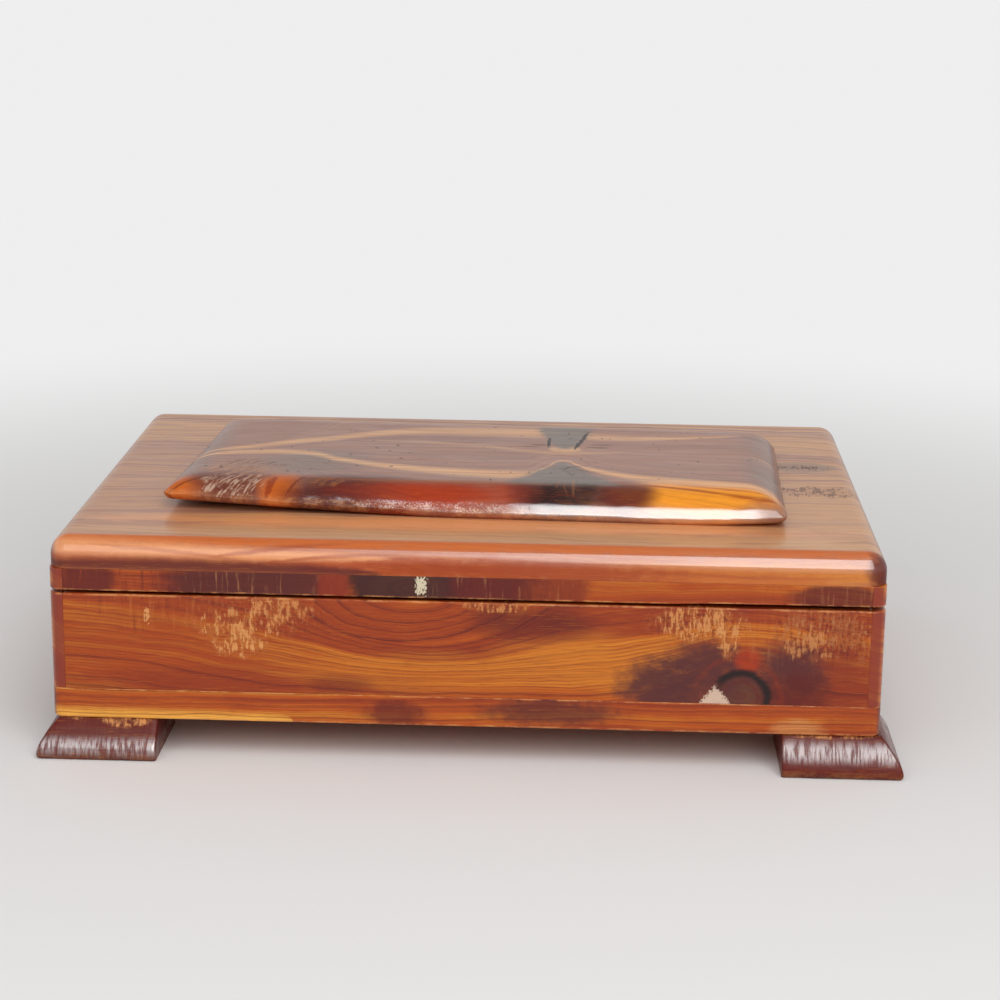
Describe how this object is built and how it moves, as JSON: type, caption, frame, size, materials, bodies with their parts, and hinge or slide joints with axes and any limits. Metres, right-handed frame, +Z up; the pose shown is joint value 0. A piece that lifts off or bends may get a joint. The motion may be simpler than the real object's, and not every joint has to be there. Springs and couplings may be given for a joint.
{
  "type": "wooden box",
  "caption": "Low rectangular cedar keepsake box with a hinged lid, a raised bevelled panel on the lid and splayed block feet at the corners.",
  "frame": {"origin": "on the table under the middle of the box", "axes": "+X along the front to the right, +Y to the hinged back, +Z up"},
  "size_m": [0.2682, 0.1896, 0.0786],
  "materials": {
    "lid_wood": "gloss varnish",
    "body_wood": "gloss varnish",
    "foot_wood": "gloss varnish",
    "brass": "dulled",
    "steel_wire": "plain"
  },
  "bodies": {
    "box": {"front_wall": "body_wood", "back_wall": "body_wood", "left_wall": "body_wood", "right_wall": "body_wood", "bottom_board": "body_wood", "front_left_foot": "foot_wood", "front_left_foot_brad_1": "steel_wire", "front_left_foot_brad_2": "steel_wire", "front_right_foot": "foot_wood", "front_right_foot_brad_1": "steel_wire", "front_right_foot_brad_2": "steel_wire", "back_left_foot": "foot_wood", "back_left_foot_brad_1": "steel_wire", "back_left_foot_brad_2": "steel_wire", "back_right_foot": "foot_wood", "back_right_foot_brad_1": "steel_wire", "back_right_foot_brad_2": "steel_wire", "left_hinge_body_leaf": "brass", "left_hinge_pin": "brass", "left_hinge_body_screw_1": "brass", "left_hinge_body_screw_2": "brass", "right_hinge_body_leaf": "brass", "right_hinge_pin": "brass", "right_hinge_body_screw_1": "brass", "right_hinge_body_screw_2": "brass"},
    "lid": {"lid_board": "lid_wood", "raised_panel": "lid_wood", "lid_rim_front": "body_wood", "lid_rim_back": "body_wood", "lid_rim_left": "body_wood", "lid_rim_right": "body_wood", "left_hinge_lid_leaf": "brass", "left_hinge_lid_screw_1": "brass", "left_hinge_lid_screw_2": "brass", "right_hinge_lid_leaf": "brass", "right_hinge_lid_screw_1": "brass", "right_hinge_lid_screw_2": "brass"}
  },
  "joints": [
    {"name": "lid_hinge", "type": "hinge", "parent": "box", "child": "lid", "pos_m": [0, 0.0913, 0.05235], "axis": [-1, 0, 0], "range_deg": [0, 180]}
  ]
}
